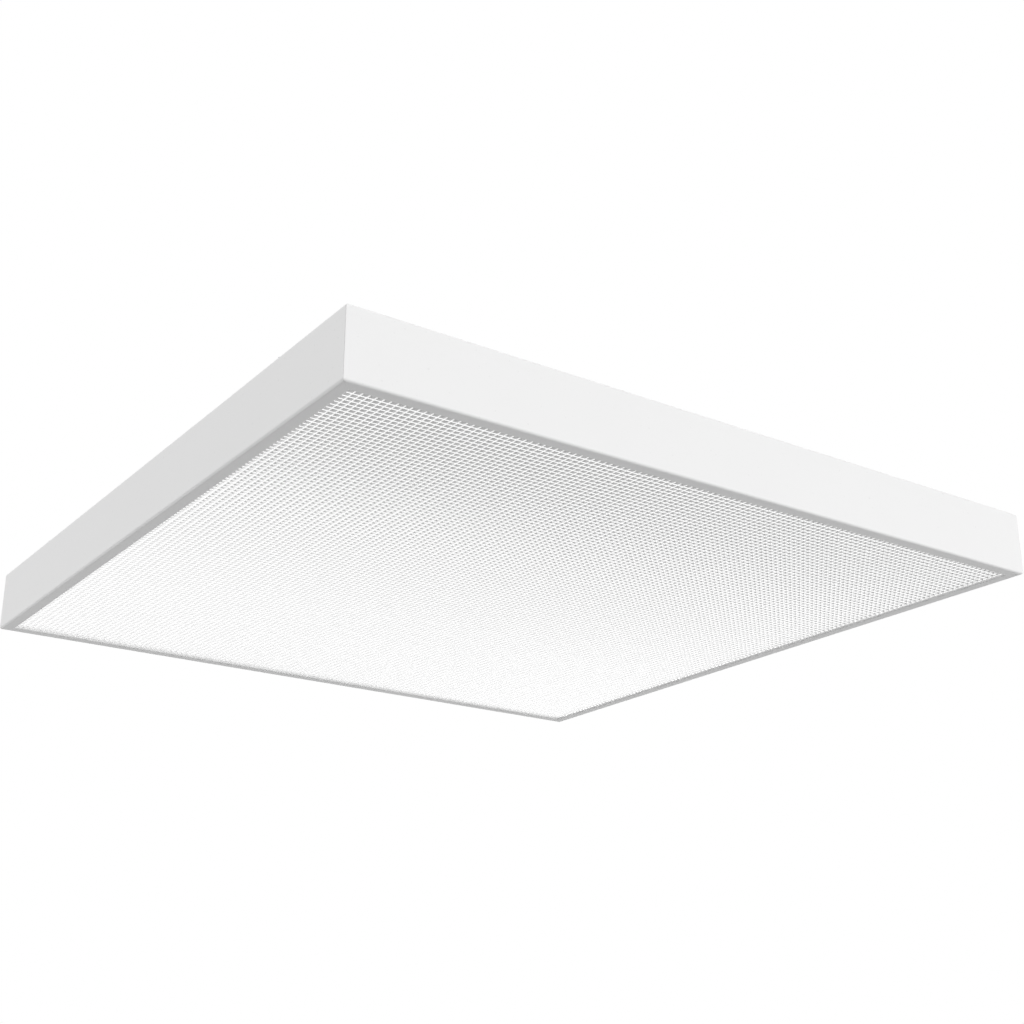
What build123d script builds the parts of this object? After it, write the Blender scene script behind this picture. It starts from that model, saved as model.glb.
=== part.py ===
from build123d import *
import os
from math import pi, radians, sqrt, tan

# Recessed troffer light, in millimetres. +Z points up into the ceiling void, and the origin is the
# centre of the underside of the lip. The photograph looks up at the corner at -X, -Y.

os.makedirs("parts", exist_ok=True)

# ---- Driving dimensions: the housing ----
side = 595.0  # outer width and length, for a 600 mm ceiling module
depth = 50.0  # from the underside of the lip to the top of the back panel
sheet = 0.8  # painted steel of the frame, panel and cover
lip_width = 10.0  # the border that shows round the lens
return_height = 2.2  # upturned edge of the lip, on which the lens lies
flange_width = 14.0  # inward flange at the top, under the back panel
foot_radius = 2.0  # outside radius of the bend from wall to lip
return_radius = 1.0  # outside radius of the bend from lip to upturned edge
top_radius = 1.5  # outside radius of the bend from wall to top flange
mitre_gap = 0.1  # between the mitred ends of two frame sides

angle_leg = 20.0  # corner angles, welded inside the frame
angle_sheet = 1.0
angle_height = 36.0

# ---- Driving dimensions: lens and light chamber ----
lens_gap = 1.7  # from the inner face of the wall to the lens
lens_border = 2.0  # thickness of the lens at its border
prism_drop = 0.9  # how far the prisms hang below the border
prism_gap = 0.5  # from the upturned edge to the prism field
film_thickness = 0.4
film_inset = 1.0  # from the lens edge to the film edge
gasket_width = 6.5
gasket_thickness = 1.0
gasket_inset = 1.5  # from the lens edge to the gasket
tray_sheet = 0.6  # white reflector tray
tray_clear = 0.7  # from the corner angles to the tray rim
tray_rim = 10.0  # width of the flat rim
tray_slope = 38.0  # width of the sloped wall, seen from above
tray_rise = 19.0  # height of the sloped wall

board_count = 6
board_pitch = 75.0
board_end_gap = 7.0  # from the end of a board to the end of the tray's crown
board_width = 18.0
board_thickness = 1.0
chip_pitch = 20.0
chip_end = 18.0  # least distance from the end of a board to a chip
chip_length = 3.5
chip_width = 2.8
chip_height = 0.8
plug_length = 8.0  # connectors at both ends of a board
plug_width = 10.0
plug_height = 4.5
plug_from_end = 7.0
rivet_radius = 1.5  # push rivets of the boards
rivet_head_radius = 2.8
rivet_head = 1.0
rivet_tail = 1.5
rivet_clear = 0.05

# ---- Driving dimensions: back panel and access cover ----
panel_inset = 2.0  # from the outer face of the wall to the panel edge
panel_corner = 3.0
bead_from_edge = 80.5  # pressed stiffening beads, from the panel's edge
bead_from_post = 55.0  # from the row of posts to a bead on each side
bead_width = 14.0
bead_height = 2.5
bead_slope = 30.0  # degrees from upright

screw_radius = 1.45  # sheet-metal screws of the panel
screw_clear = 0.25
screw_pilot_clear = 0.02
screw_head_radius = 2.9
screw_head = 2.0
screw_head_taper = 18.0  # degrees from upright, for every screw head
screw_length = 7.0
screw_from_corner = 117.5
screw_inset = 8.5  # from the outer face of the wall

hanger_inset = 47.5  # holes for hanging wires or ceiling screws, from the wall's outer face
hanger_radius = 3.0

access_from_wall = 147.5  # from the wall on +X to the middle of the wiring opening
access_y = 0.0
access_length = 120.0  # along X
access_width = 90.0  # along Y
access_corner = 6.0
cover_lap_hinge = 9.0  # from the opening to the hinge pin
cover_lap_free = 14.0
cover_lap_side = 10.0
cover_gap = 0.3
cover_edge = 5.0  # upturned free edge
cover_edge_radius = 1.6
cover_dome = 2.0  # raised field of the cover
cover_dome_inset = 16.0
cover_dome_slope = 35.0
cover_dome_corner = 8.0

hinge_pin_radius = 1.35
hinge_clear = 0.06
hinge_fixed_clear = 0.02
knuckle_length = 20.0
knuckle_count = 5
knuckle_gap = 0.3
knuckle_notch = 0.6
leaf_width = 18.0
pin_overhang = 2.0
pin_head_radius = 2.0
pin_head = 1.0

cover_screw_radius = 1.9
cover_screw_clear = 0.3
cover_screw_head_radius = 3.6
cover_screw_head = 2.4
cover_screw_length = 8.0
cover_screw_inset = 8.0  # from the free edge of the cover
nut_bore_clear = 0.45
cover_nut_radius = 4.5
cover_nut_height = 3.5

gland_from_cover = 8.5  # from the cover's free edge to the rim of the cable gland
gland_bore = 5.0  # radius
gland_groove = 8.0  # radius
gland_rim = 10.5  # radius
gland_lip = 2.5  # thickness of each rim
gland_clear = 0.05

# ---- Driving dimensions: swing-out grid clips ----
clip_inset = 10.0  # from the outer face of the wall to the pivot
clip_from_corner = 57.5  # from the end of the side to the pivot
clip_reach = 36.0
clip_width = 12.0
clip_sheet = 1.2
clip_tab = 3.4
clip_bend = 2.0
clip_gap = 0.1
clip_rivet_radius = 2.0
clip_rivet_clear = 0.08
clip_head_radius = 4.0
clip_head = 1.5
clip_head_taper = 20.0
clip_tail_less = 0.5  # how much smaller the lower head is

# ---- Driving dimensions: driver and wiring ----
post_inset = 47.0  # from the edge of the tray's crown to the hexagonal posts
post_flats = 7.0
post_screw_length = 7.0

driver_y = 0.0
driver_length = 260.0
driver_width = 30.0
driver_height = 21.0
driver_sheet = 0.7
driver_wall = 12.0  # height of the upright sides of the base
driver_fit = 0.15
driver_ear = 12.0
driver_ear_width = 20.0
driver_ear_hole = 5.5  # from the outer end of the ear
driver_ear_corner = 3.0
driver_cap = 8.0  # plastic end caps
driver_shelf = 4.0  # height of the board above the driver floor
driver_board_thickness = 1.6
driver_slot = 3.0  # depth of the slot that holds the board's end
driver_slot_clear = 0.2
coil_length = 26.0
coil_width = 18.0
coil_height = 11.0
coil_corner = 3.0
can_radius = 5.0
can_height = 12.0
can_spots = (-70.0, -45.0, 75.0)
coil_spot = 10.0
driver_port_spread = 4.0  # half the distance between the wire holes
driver_port_height = 13.0
driver_port_clear = 0.1

block_from_access = 15.0  # mains terminal block, from the middle of the opening
block_length = 22.0
block_height = 15.0
block_corner = 0.8
pole_pitch = 12.0
pole_count = 3
bay_width = 9.6
bay_over = 1.0  # how far the cut for a bay starts outside the block
block_skin = 1.0  # extra wall outside the outer bays
lever_pivot = 10.0  # from the block's -X face
lever_hub = 3.2
lever_reach = 11.0
lever_side_clear = 0.3
lever_clear = 0.4
lever_pin = 1.5
lever_pin_length = 1.0
lever_pin_clear = 0.06
tunnel_floor = 2.0
tunnel_width = 8.0
tunnel_height = 5.5
bar_thickness = 0.8
bar_side_clear = 0.1

stud_from_access = -32.0  # earth stud, from the middle of the opening along X
stud_y = -30.0
stud_radius = 2.0
stud_base_radius = 5.0
stud_base = 1.0
stud_height = 10.0
lug_radius = 4.0
lug_thickness = 0.8
lug_clear = 0.1
lug_tail = 7.0
lug_tail_width = 3.2
nut_flats = 7.0
nut_height = 3.2
nut_clear = 0.05

mains_wire = 1.3  # radius over the insulation
led_wire = 0.8
led_wire_spread = 1.6
bush_from_plug = 1.0  # rubber bush for the lamp wires, from the plugs of the boards
bush_from_ear = 15.0  # from the driver's ear to the middle of the bush
bush_y = -12.0
bush_bore = 3.9
bush_groove = 4.9
bush_rim = 6.5
bush_lip = 1.0
link_slack = 3.0  # sideways slack of the flat wires between boards
link_lead = 12.0
link_bend = 30.0
bend_share = 0.45  # part of the shorter run beside it that a wire's bend takes
wire_tuck = 2.0  # how far a wire goes into the driver or the terminal block
wire_lead = 0.3  # straight part at each end of a mains wire, as a share of its reach
earth_lead = 6.0
lamp_wire_rise = 8.0  # height over the tray at which a lamp wire turns down into the bush

# ---- Heights and places that follow ----
half = side / 2
frame_top = depth - sheet
lens_half = half - sheet - lens_gap
field_half = half - lip_width - prism_gap
lens_top = return_height + lens_border
film_top = lens_top + film_thickness
rim_z = film_top + gasket_thickness
rim_half = half - sheet - angle_sheet - tray_clear
mouth_half = rim_half - tray_rim
flat_half = mouth_half - tray_slope
tray_top = rim_z + tray_rise
tray_under = tray_top - tray_sheet
board_z = tray_under - board_thickness
plug_z = board_z - plug_height
board_length = 2 * (flat_half - board_end_gap)
board_rows = [(row - (board_count - 1) / 2) * board_pitch for row in range(board_count)]
chips_each_way = int((board_length / 2 - chip_end) / chip_pitch)
rivet_outer = (chips_each_way - 0.5) * chip_pitch
rivet_spots = (-rivet_outer, chip_pitch / 2, rivet_outer)
plug_x = board_length / 2 - plug_from_end
rivet_places = [(x, y) for x in rivet_spots for y in board_rows]

panel_half = half - panel_inset
access_x = half - access_from_wall
hinge_x = access_x - access_length / 2 - cover_lap_hinge
cover_end = access_x + access_length / 2 + cover_lap_free
cover_under = depth + cover_gap
cover_width = access_width + 2 * cover_lap_side
cover_top = cover_under + sheet
knuckle_radius = hinge_pin_radius + hinge_clear + sheet
hinge_z = cover_under + knuckle_radius
hinge_span = knuckle_count * knuckle_length
cover_screw_x = cover_end - cover_screw_inset
gland_x = cover_end + gland_from_cover + gland_rim

bush_x = bush_from_plug - plug_x
driver_end_low = bush_x + bush_from_ear + driver_ear
driver_end_high = driver_end_low + driver_length
driver_x = driver_end_low + driver_length / 2
driver_ear_places = [(driver_end_low - driver_ear + driver_ear_hole, driver_y),
                     (driver_end_high + driver_ear - driver_ear_hole, driver_y)]
block_x = access_x + block_from_access
stud_x = access_x + stud_from_access
driver_port_z = tray_top + driver_port_height
block_face = block_x - block_length / 2
pivot_x = block_face + lever_pivot
pivot_z = tray_top + block_height - lever_hub
tunnel_z = tray_top + tunnel_floor
bar_top = tunnel_z + bar_thickness
pole_rows = [access_y + (pole - (pole_count - 1) / 2) * pole_pitch for pole in range(pole_count)]
block_width = pole_count * pole_pitch + 2 * block_skin
post_x = flat_half - post_inset
post_y = 2 * board_pitch
post_places = [(x, y) for x in (-post_x, 0, post_x) for y in (-post_y, post_y)]
bead_rows = [side_y * post_y + step * bead_from_post for side_y in (-1, 1) for step in (-1, 1)]
bead_length = 2 * (panel_half - bead_from_edge)
screw_along = (screw_from_corner - half, 0, half - screw_from_corner)
clip_along = half - clip_from_corner


def keep(piece, name):
    """Label a finished piece and write it to its own file."""
    piece.part.label = name
    export_step(piece.part, f"parts/{name}.step")


def inward(turn):
    """Unit vector from one wall towards the middle; turn 0 starts at the wall on -X."""
    return Vector(1, 0, 0).rotate(Axis.Z, turn)


def on_side(turn, inset, along):
    """Point on the plan, inset from a wall's outer face, and along from the wall's middle."""
    spot = inward(turn) * (inset - half) + inward(turn + 90) * along
    return (spot.X, spot.Y)


panel_screw_places = [on_side(turn, screw_inset, along)
                      for turn in (0, 90, 180, 270) for along in screw_along]

# ---- Frame: four folded sides with mitred ends ----
for name, turn in (("frame_left", 0), ("frame_front", 90), ("frame_right", 180), ("frame_rear", 270)):
    wall = inward(turn) * -half
    mitre_shift = mitre_gap / 2 * sqrt(2)
    with BuildPart() as frame_side:
        with BuildSketch(Plane(origin=wall, x_dir=inward(turn), z_dir=inward(turn - 90))):
            with BuildLine():
                FilletPolyline(
                    (flange_width, frame_top),
                    (0, frame_top),
                    (0, 0),
                    (lip_width, 0),
                    (lip_width, return_height),
                    radius=(top_radius, foot_radius, return_radius),
                )
                offset(amount=sheet, side=Side.LEFT)
            make_face()
        extrude(amount=half, both=True)
        with BuildSketch(Plane(origin=wall, x_dir=inward(turn), z_dir=(0, 0, 1))):
            with BuildLine():
                Polyline(
                    (0, -half + mitre_shift),
                    (0, half - mitre_shift),
                    (flange_width, half - flange_width - mitre_shift),
                    (flange_width, -half + flange_width + mitre_shift),
                    close=True,
                )
            make_face()
        extrude(amount=depth, mode=Mode.INTERSECT)
        with BuildSketch(Plane.XY.offset(frame_top)):
            with Locations(*[on_side(turn, screw_inset, along) for along in screw_along]):
                Circle(screw_radius + screw_pilot_clear)
            if turn in (0, 180):
                with Locations(on_side(turn, clip_inset, clip_along), on_side(turn, clip_inset, -clip_along)):
                    Circle(clip_rivet_radius + screw_pilot_clear)
        extrude(amount=-2 * sheet, mode=Mode.SUBTRACT)
    keep(frame_side, name)

# ---- Corner angles, welded to the walls from inside ----
angle_z = sheet + (frame_top - sheet - angle_height) / 2
for number, turn in enumerate((0, 90, 180, 270), start=1):
    corner = (inward(turn) + inward(turn + 90)) * (sheet - half)
    with BuildPart() as corner_angle:
        with BuildSketch(Plane(origin=corner + Vector(0, 0, angle_z), x_dir=inward(turn), z_dir=(0, 0, 1))):
            with BuildLine():
                Polyline((angle_leg, 0), (0, 0), (0, angle_leg))
                offset(amount=angle_sheet, side=Side.RIGHT)
            make_face()
        extrude(amount=angle_height)
    keep(corner_angle, f"corner_angle_{number}")

# ---- Lens: a plain border on the upturned edge, and the prism field inside it ----
with BuildPart() as prismatic_lens:
    with BuildSketch(Plane.XY.offset(return_height)):
        Rectangle(2 * lens_half, 2 * lens_half)
    extrude(amount=lens_border)
    with BuildSketch(Plane.XY.offset(return_height - prism_drop)):
        Rectangle(2 * field_half, 2 * field_half)
    extrude(amount=prism_drop)
keep(prismatic_lens, "prismatic_lens")

with BuildPart() as diffuser_film:
    with BuildSketch(Plane.XY.offset(lens_top)):
        Rectangle(2 * (lens_half - film_inset), 2 * (lens_half - film_inset))
    extrude(amount=film_thickness)
keep(diffuser_film, "diffuser_film")

with BuildPart() as rim_gasket:
    gasket_side = 2 * (lens_half - gasket_inset)
    with BuildSketch(Plane.XY.offset(film_top)):
        Rectangle(gasket_side, gasket_side)
        Rectangle(gasket_side - 2 * gasket_width, gasket_side - 2 * gasket_width, mode=Mode.SUBTRACT)
    extrude(amount=gasket_thickness)
keep(rim_gasket, "rim_gasket")

# ---- Reflector tray: sloped walls up to a flat crown, with a flat rim on the gasket ----
with BuildPart() as reflector_tray:
    with BuildSketch(Plane.XY.offset(rim_z)):
        Rectangle(2 * mouth_half, 2 * mouth_half)
    with BuildSketch(Plane.XY.offset(tray_top)):
        Rectangle(2 * flat_half, 2 * flat_half)
    loft()
    offset(amount=-tray_sheet, openings=faces().sort_by(Axis.Z)[0])
    rim_inner = mouth_half - tray_sheet * tray_slope / tray_rise
    with BuildSketch(Plane.XY.offset(rim_z)):
        Rectangle(2 * rim_half, 2 * rim_half)
        Rectangle(2 * rim_inner, 2 * rim_inner, mode=Mode.SUBTRACT)
    extrude(amount=tray_sheet)
    with BuildSketch(Plane.XY.offset(tray_top)):
        with Locations(*rivet_places):
            Circle(rivet_radius + rivet_clear)
        with Locations(*post_places):
            Circle(screw_radius + screw_clear)
        with Locations(*driver_ear_places):
            Circle(screw_radius + screw_pilot_clear)
        with Locations((bush_x, bush_y)):
            Circle(bush_groove + gland_clear)
    extrude(amount=-2 * tray_sheet, mode=Mode.SUBTRACT)
keep(reflector_tray, "reflector_tray")

# ---- Six boards with their chips, connectors and push rivets ----
for number, row in enumerate(board_rows, start=1):
    with BuildPart() as led_board:
        with BuildSketch(Plane.XY.offset(board_z)):
            with Locations((0, row)):
                Rectangle(board_length, board_width)
            with Locations(*[(spot, row) for spot in rivet_spots]):
                Circle(rivet_radius + rivet_clear, mode=Mode.SUBTRACT)
        extrude(amount=board_thickness)
    keep(led_board, f"led_board_{number}")

with BuildPart() as led_chips:
    with BuildSketch(Plane.XY.offset(board_z)):
        with GridLocations(chip_pitch, board_pitch, 2 * chips_each_way + 1, board_count):
            Rectangle(chip_length, chip_width)
    extrude(amount=-chip_height)
keep(led_chips, "led_chips")

with BuildPart() as board_plugs:
    with BuildSketch(Plane.XY.offset(board_z)):
        with GridLocations(2 * plug_x, board_pitch, 2, board_count):
            Rectangle(plug_length, plug_width)
    extrude(amount=-plug_height)
keep(board_plugs, "board_plugs")

with BuildPart() as board_rivets:
    with BuildSketch(Plane.XY.offset(board_z)):
        with Locations(*rivet_places):
            Circle(rivet_head_radius)
    extrude(amount=-rivet_head)
    with BuildSketch(Plane.XY.offset(board_z)):
        with Locations(*rivet_places):
            Circle(rivet_radius)
    extrude(amount=tray_top - board_z + rivet_tail)
keep(board_rivets, "board_rivets")

# ---- Back panel with beads, access opening and holes ----
clip_places = [on_side(turn, clip_inset, along) for turn in (0, 180) for along in (clip_along, -clip_along)]
with BuildPart() as back_panel:
    with BuildSketch(Plane.XY.offset(frame_top)):
        RectangleRounded(2 * panel_half, 2 * panel_half, panel_corner)
    extrude(amount=sheet)
    with BuildSketch(Plane.XY.offset(depth)):
        with Locations(*[(0, row) for row in bead_rows]):
            SlotOverall(bead_length, bead_width)
    extrude(amount=bead_height, taper=bead_slope)
    with BuildSketch(Plane.XY.offset(frame_top)):
        with Locations(*[(0, row) for row in bead_rows]):
            SlotOverall(bead_length, bead_width)
    extrude(amount=bead_height, taper=bead_slope, mode=Mode.SUBTRACT)
    with BuildSketch(Plane.XY.offset(frame_top)):
        with Locations((access_x, access_y)):
            RectangleRounded(access_length, access_width, access_corner)
        with Locations(*panel_screw_places, *post_places):
            Circle(screw_radius + screw_clear)
        with Locations(*clip_places):
            Circle(clip_rivet_radius + screw_pilot_clear)
        with Locations((cover_screw_x, access_y)):
            Circle(cover_screw_radius + nut_bore_clear)
        with Locations((gland_x, access_y)):
            Circle(gland_groove + gland_clear)
        with GridLocations(2 * (half - hanger_inset), 2 * (half - hanger_inset), 2, 2):
            Circle(hanger_radius)
    extrude(amount=sheet, mode=Mode.SUBTRACT)
keep(back_panel, "back_panel")

# ---- Access cover: folded free edge, raised field, and rolled knuckles on a pin ----
knuckle_rows = [access_y + (row - (knuckle_count - 1) / 2) * knuckle_length for row in range(knuckle_count)]
cover_rows = knuckle_rows[1::2]
leaf_rows = knuckle_rows[0::2]
knuckle_width = knuckle_length - knuckle_gap
notch_depth = knuckle_radius + knuckle_notch


def add_knuckles(rows, bore):
    """Rolled knuckles round the hinge pin; each row is a knuckle's middle along Y."""
    ends = [Plane.XZ.offset(-row - knuckle_width / 2) for row in rows]
    with BuildSketch(*ends) as barrel:
        with Locations((hinge_x, hinge_z)):
            Circle(knuckle_radius)
    extrude(barrel.sketch, amount=knuckle_width)
    with BuildSketch(*ends) as pin_hole:
        with Locations((hinge_x, hinge_z)):
            Circle(bore)
    extrude(pin_hole.sketch, amount=knuckle_width, mode=Mode.SUBTRACT)


with BuildPart() as access_cover:
    with BuildSketch(Plane.XZ.offset(-access_y)):
        with BuildLine():
            FilletPolyline(
                (hinge_x, cover_under),
                (cover_end, cover_under),
                (cover_end, cover_under + cover_edge),
                radius=cover_edge_radius,
            )
            offset(amount=sheet, side=Side.LEFT)
        make_face()
    extrude(amount=cover_width / 2, both=True)
    notch_x = hinge_x + notch_depth / 2
    end_notch = (cover_width - hinge_span) / 2 + knuckle_gap / 2
    with BuildSketch(Plane.XY.offset(cover_under)):
        with Locations(*[(notch_x, row) for row in leaf_rows]):
            Rectangle(notch_depth, knuckle_length + knuckle_gap)
        with Locations((notch_x, access_y - (cover_width - end_notch) / 2),
                       (notch_x, access_y + (cover_width - end_notch) / 2)):
            Rectangle(notch_depth, end_notch)
    extrude(amount=sheet, mode=Mode.SUBTRACT)
    add_knuckles(cover_rows, hinge_pin_radius + hinge_clear)
    dome_length = access_length + cover_lap_free - 2 * cover_dome_inset
    dome_width = cover_width - 2 * cover_dome_inset
    with BuildSketch(Plane.XY.offset(cover_top)):
        with Locations((access_x, access_y)):
            RectangleRounded(dome_length, dome_width, cover_dome_corner)
    extrude(amount=cover_dome, taper=cover_dome_slope)
    with BuildSketch(Plane.XY.offset(cover_under)):
        with Locations((access_x, access_y)):
            RectangleRounded(dome_length, dome_width, cover_dome_corner)
    extrude(amount=cover_dome, taper=cover_dome_slope, mode=Mode.SUBTRACT)
    with BuildSketch(Plane.XY.offset(cover_under)):
        with Locations((cover_screw_x, access_y)):
            Circle(cover_screw_radius + cover_screw_clear)
    extrude(amount=sheet, mode=Mode.SUBTRACT)
keep(access_cover, "access_cover")

with BuildPart() as hinge_leaf:
    with BuildSketch(Plane.XY.offset(depth)):
        with Locations((hinge_x - leaf_width / 2, access_y)):
            Rectangle(leaf_width, hinge_span)
        with Locations(*[(hinge_x - notch_depth / 2, row) for row in cover_rows]):
            Rectangle(notch_depth, knuckle_length + knuckle_gap, mode=Mode.SUBTRACT)
    extrude(amount=sheet)
    add_knuckles(leaf_rows, hinge_pin_radius + hinge_fixed_clear)
keep(hinge_leaf, "hinge_leaf")

with BuildPart() as hinge_pin:
    with BuildSketch(Plane.XZ.offset(-access_y)):
        with Locations((hinge_x, hinge_z)):
            Circle(hinge_pin_radius)
    extrude(amount=hinge_span / 2 + pin_overhang / 2, both=True)
    with BuildSketch(Plane.XZ.offset(-access_y + hinge_span / 2)):
        with Locations((hinge_x, hinge_z)):
            Circle(pin_head_radius)
    extrude(amount=pin_head)
keep(hinge_pin, "hinge_pin")


def add_screw(places, seat_z, radius, head_radius, head, length, up=1):
    """Pan-head screws: seat_z is the underside of the head, and up is 1 for a head on top."""
    with BuildSketch(Plane.XY.offset(seat_z)) as shanks:
        with Locations(*places):
            Circle(radius)
    extrude(shanks.sketch, amount=-length * up)
    with BuildSketch(Plane.XY.offset(seat_z)) as heads:
        with Locations(*places):
            Circle(head_radius)
    extrude(heads.sketch, amount=head * up, taper=screw_head_taper)


with BuildPart() as cover_screw:
    add_screw([(cover_screw_x, access_y)], cover_top, cover_screw_radius, cover_screw_head_radius,
              cover_screw_head, cover_screw_length)
keep(cover_screw, "cover_screw")

with BuildPart() as cover_nut:
    with BuildSketch(Plane.XY.offset(frame_top)):
        with Locations((cover_screw_x, access_y)):
            Circle(cover_nut_radius)
            Circle(cover_screw_radius + nut_bore_clear, mode=Mode.SUBTRACT)
    extrude(amount=-cover_nut_height)
keep(cover_nut, "cover_nut")

with BuildPart() as panel_screws:
    add_screw(panel_screw_places, depth, screw_radius, screw_head_radius, screw_head, screw_length)
keep(panel_screws, "panel_screws")

# ---- Posts between tray and panel, with a screw at each end ----
with BuildPart() as tray_posts:
    with BuildSketch(Plane.XY.offset(tray_top)):
        with Locations(*post_places):
            RegularPolygon(post_flats / 2, 6, major_radius=False)
            Circle(screw_radius + screw_pilot_clear, mode=Mode.SUBTRACT)
    extrude(amount=frame_top - tray_top)
keep(tray_posts, "tray_posts")

with BuildPart() as post_screws:
    add_screw(post_places, depth, screw_radius, screw_head_radius, screw_head, post_screw_length)
    add_screw(post_places, tray_under, screw_radius, screw_head_radius, screw_head, post_screw_length, up=-1)
keep(post_screws, "post_screws")

# ---- Cable gland in the back panel, and the small bush in the tray ----
def rubber_bush(x, y, seat, thickness, bore, groove, rim, rim_thickness):
    """Half section of a bush whose groove holds a sheet between seat and seat + thickness."""
    with BuildSketch(Plane.XZ.offset(-y)) as half_section:
        with BuildLine():
            Polyline(
                (x + bore, seat - rim_thickness),
                (x + rim, seat - rim_thickness),
                (x + rim, seat),
                (x + groove, seat),
                (x + groove, seat + thickness),
                (x + rim, seat + thickness),
                (x + rim, seat + thickness + rim_thickness),
                (x + bore, seat + thickness + rim_thickness),
                close=True,
            )
        make_face()
    revolve(half_section.sketch, axis=Axis((x, y, 0), (0, 0, 1)))


with BuildPart() as cable_gland:
    rubber_bush(gland_x, access_y, frame_top, sheet, gland_bore, gland_groove, gland_rim, gland_lip)
keep(cable_gland, "cable_gland")

with BuildPart() as tray_bush:
    rubber_bush(bush_x, bush_y, tray_under, tray_sheet, bush_bore, bush_groove, bush_rim, bush_lip)
keep(tray_bush, "tray_bush")

# ---- Swing-out grid clips on shouldered rivets ----
clip_under = depth + clip_gap
clip_top = clip_under + clip_sheet
clip_turns = ((0, 1), (0, -1), (180, 1), (180, -1))
for number, (turn, end) in enumerate(clip_turns, start=1):
    pivot = on_side(turn, clip_inset, end * clip_along)
    arm = inward(turn + 90) * -end
    pivot_spot = Vector(pivot[0], pivot[1], clip_under)
    with BuildPart() as grid_clip:
        with BuildSketch(Plane(origin=pivot_spot, x_dir=arm, z_dir=arm.cross(Vector(0, 0, 1)))):
            with BuildLine():
                FilletPolyline((-clip_width / 2, 0), (clip_reach, 0), (clip_reach, clip_tab),
                               radius=clip_bend)
                offset(amount=clip_sheet, side=Side.LEFT)
            make_face()
        extrude(amount=clip_width / 2, both=True)
        with BuildSketch(Plane(origin=pivot_spot, x_dir=arm, z_dir=(0, 0, 1))):
            with Locations((clip_reach / 2, 0)):
                SlotOverall(clip_reach + clip_width, clip_width)
        extrude(amount=clip_tab, mode=Mode.INTERSECT)
        with BuildSketch(Plane(origin=pivot_spot, x_dir=arm, z_dir=(0, 0, 1))):
            Circle(clip_rivet_radius + clip_rivet_clear)
        extrude(amount=clip_sheet, mode=Mode.SUBTRACT)
    keep(grid_clip, f"grid_clip_{number}")

with BuildPart() as clip_rivets:
    with BuildSketch(Plane.XY.offset(frame_top - sheet)):
        with Locations(*clip_places):
            Circle(clip_rivet_radius)
    extrude(amount=clip_top + clip_gap - frame_top + sheet)
    with BuildSketch(Plane.XY.offset(clip_top + clip_gap)):
        with Locations(*clip_places):
            Circle(clip_head_radius)
    extrude(amount=clip_head, taper=clip_head_taper)
    with BuildSketch(Plane.XY.offset(frame_top - sheet)):
        with Locations(*clip_places):
            Circle(clip_head_radius - clip_tail_less)
    extrude(amount=-clip_head, taper=clip_head_taper)
keep(clip_rivets, "clip_rivets")

# ---- Driver: folded base and cover, end caps, and the board with its large parts ----
driver_plan = (driver_x, driver_y)
driver_floor = tray_top + driver_sheet
inner_width = driver_width - 2 * driver_sheet
with BuildPart() as driver_base:
    with BuildSketch(Plane.YZ.offset(driver_end_low)):
        with BuildLine():
            Polyline(
                (driver_y - driver_width / 2, tray_top + driver_wall),
                (driver_y - driver_width / 2, tray_top),
                (driver_y + driver_width / 2, tray_top),
                (driver_y + driver_width / 2, tray_top + driver_wall),
            )
            offset(amount=driver_sheet, side=Side.LEFT)
        make_face()
    extrude(amount=driver_length)
    with BuildSketch(Plane.XY.offset(tray_top)):
        with Locations(driver_plan):
            RectangleRounded(driver_length + 2 * driver_ear, driver_ear_width, driver_ear_corner)
    extrude(amount=driver_sheet)
    with BuildSketch(Plane.XY.offset(tray_top)):
        with Locations(*driver_ear_places):
            Circle(screw_radius + screw_clear)
    extrude(amount=driver_sheet, mode=Mode.SUBTRACT)
keep(driver_base, "driver_base")

with BuildPart() as driver_cover:
    with BuildSketch(Plane.YZ.offset(driver_end_low)):
        cover_half = driver_width / 2 + driver_fit + driver_sheet
        with BuildLine():
            Polyline(
                (driver_y + cover_half, tray_top + driver_fit),
                (driver_y + cover_half, tray_top + driver_height),
                (driver_y - cover_half, tray_top + driver_height),
                (driver_y - cover_half, tray_top + driver_fit),
            )
            offset(amount=driver_sheet, side=Side.LEFT)
        make_face()
    extrude(amount=driver_length)
keep(driver_cover, "driver_cover")

cap_width = inner_width - 2 * driver_fit
cap_height = driver_height - 2 * driver_sheet - driver_fit
for name, face_x, into in (("driver_input_cap", driver_end_high, -1),
                           ("driver_output_cap", driver_end_low, 1)):
    port = (mains_wire if into < 0 else led_wire) + driver_port_clear
    with BuildPart() as end_cap:
        with BuildSketch(Plane.XY.offset(driver_floor)):
            with Locations((face_x + into * driver_cap / 2, driver_y)):
                Rectangle(driver_cap, cap_width)
        extrude(amount=cap_height)
        with BuildSketch(Plane.XY.offset(driver_floor + driver_shelf)):
            with Locations((face_x + into * (driver_cap - driver_slot / 2), driver_y)):
                Rectangle(driver_slot, cap_width)
        extrude(amount=driver_board_thickness + driver_slot_clear, mode=Mode.SUBTRACT)
        with BuildSketch(Plane.YZ.offset(face_x)):
            with Locations((driver_y - driver_port_spread, driver_port_z),
                           (driver_y + driver_port_spread, driver_port_z)):
                Circle(port)
        extrude(amount=into * driver_cap, mode=Mode.SUBTRACT)
    keep(end_cap, name)

with BuildPart() as driver_board:
    with BuildSketch(Plane.XY.offset(driver_floor + driver_shelf)):
        with Locations(driver_plan):
            Rectangle(driver_length - 2 * (driver_cap - driver_slot) - 2 * driver_slot_clear, cap_width)
    extrude(amount=driver_board_thickness)
keep(driver_board, "driver_board")

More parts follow.
